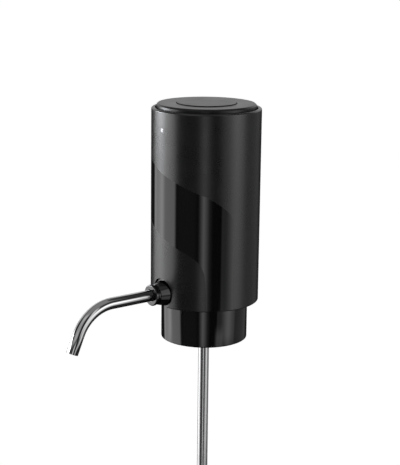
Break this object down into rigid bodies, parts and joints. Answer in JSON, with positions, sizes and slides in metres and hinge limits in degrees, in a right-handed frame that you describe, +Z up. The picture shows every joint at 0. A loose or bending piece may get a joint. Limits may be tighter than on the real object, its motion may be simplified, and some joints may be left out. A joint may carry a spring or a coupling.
{
  "type": "electric wine aerator",
  "caption": "Electric aerator and dispenser that plugs a bottle: a tall cylinder with a top button, a bent steel spout, and a suction tube below.",
  "frame": {"origin": "on the stopper's axis, in the plane where the bottle's mouth meets the gasket", "axes": "+Z up out of the bottle, the spout points along -Y, the charging socket along +Y"},
  "size_m": [0.06, 0.1206, 0.2971],
  "materials": {
    "housing_black": "satin moulded black",
    "gloss_black": "high gloss black",
    "cap_black": "fine satin black",
    "button_black": "fine satin black",
    "spout_steel": "polished stainless steel",
    "tube_steel": "drawn stainless steel",
    "food_rubber": "black silicone",
    "clear_lamp": "milky light pipe",
    "inner_plastic": "grey moulded plastic",
    "clear_plastic": "milky food-safe plastic",
    "screw_steel": "plated steel",
    "spring_steel": "spring wire",
    "can_steel": "drawn plated steel",
    "magnet": "dark ferrite",
    "rotor_iron": "laminated iron with enamelled wire",
    "bush_brass": "turned",
    "contact_nickel": "nickel strip",
    "diaphragm_rubber": "moulded rubber",
    "cell_sleeve": "cell in a shrunk film sleeve",
    "board_green": "coated circuit board",
    "chip_black": "moulded packages",
    "ribbon_white": "flat cable",
    "wire_sheath": "insulated wire"
  },
  "bodies": {
    "housing": {"housing_shell": "housing_black", "base_skirt": "gloss_black", "top_cap": "cap_black", "lamp_pipe": "clear_lamp", "switch_body": "chip_black", "button_spring": "spring_steel", "stopper_core": "inner_plastic", "stopper_sleeve": "food_rubber", "mouth_gasket": "food_rubber", "port_gasket": "food_rubber", "upper_tube": "tube_steel", "tube_collar": "gloss_black", "tube_seal": "food_rubber", "chassis_frame": "inner_plastic", "chassis_deck": "inner_plastic", "base_screws": "screw_steel", "small_screws": "screw_steel", "board_screws": "screw_steel", "wine_manifold": "clear_plastic", "mixing_nozzle": "clear_plastic", "spout_boss": "gloss_black", "pump_cover": "inner_plastic", "valve_plate": "inner_plastic", "soft_valves": "diaphragm_rubber", "diaphragm_sheet": "diaphragm_rubber", "pump_frame": "inner_plastic", "pump_screws": "screw_steel", "motor_can": "can_steel", "motor_cap": "chip_black", "motor_bushes": "bush_brass", "motor_magnets": "magnet", "motor_terminals": "bush_brass", "motor_damper": "diaphragm_rubber", "valve_body": "clear_plastic", "valve_spring": "spring_steel", "air_hose": "diaphragm_rubber", "battery_cell": "cell_sleeve", "battery_cradle": "inner_plastic", "battery_tabs": "contact_nickel", "main_board": "board_green", "board_chips": "chip_black", "top_board": "board_green", "board_ribbon": "ribbon_white", "charge_board": "board_green", "charge_port": "contact_nickel", "wires": "wire_sheath"},
    "button": {"push_button": "button_black", "switch_plunger": "clear_plastic"},
    "ferrule": {"spout_ferrule": "gloss_black", "ferrule_seals": "food_rubber", "spout_seal": "food_rubber"},
    "spout": {"spout_tube": "spout_steel"},
    "suction_tube": {"lower_tube": "tube_steel", "tube_tip": "gloss_black"},
    "rotor": {"motor_rotor": "rotor_iron", "motor_shaft": "tube_steel", "crank": "clear_plastic"},
    "rocker": {"rocker": "clear_plastic", "diaphragm_cups": "diaphragm_rubber"},
    "ball": {"valve_ball": "spring_steel"}
  },
  "joints": [
    {"name": "button_press", "type": "slide", "parent": "housing", "child": "button", "axis": [0, 0, -1], "range_m": [0, 0.0008], "stiffness_N_per_m": 2000, "springref_m": -0.0006, "deforming": ["button_spring"]},
    {"name": "spout_swivel", "type": "hinge", "parent": "housing", "child": "ferrule", "pos_m": [0, -0.03, 0.0122], "axis": [0, -1, 0], "range_deg": [-90, 90]},
    {"name": "spout_pull", "type": "slide", "parent": "ferrule", "child": "spout", "axis": [0, -1, 0], "range_m": [0, 0.014]},
    {"name": "tube_extend", "type": "slide", "parent": "housing", "child": "suction_tube", "axis": [0, 0, -1], "range_m": [0, 0.105]},
    {"name": "motor_spin", "type": "hinge", "parent": "housing", "child": "rotor", "pos_m": [0.013, 0.0043, 0.05], "axis": [0, 0, 1], "continuous": true},
    {"name": "rocker_turn", "type": "hinge", "parent": "rotor", "child": "rocker", "pos_m": [0.013, 0.0043, 0.0315], "axis": [0.0872, 0, 0.9962], "continuous": true},
    {"name": "valve_open", "type": "slide", "parent": "housing", "child": "ball", "axis": [-1, 0, 0], "range_m": [0, 0.0008], "stiffness_N_per_m": 50, "springref_m": -0.0005}
  ],
  "couplings": [
    {"joint": "rocker_turn", "follows": "motor_spin", "ratio": -1}
  ]
}
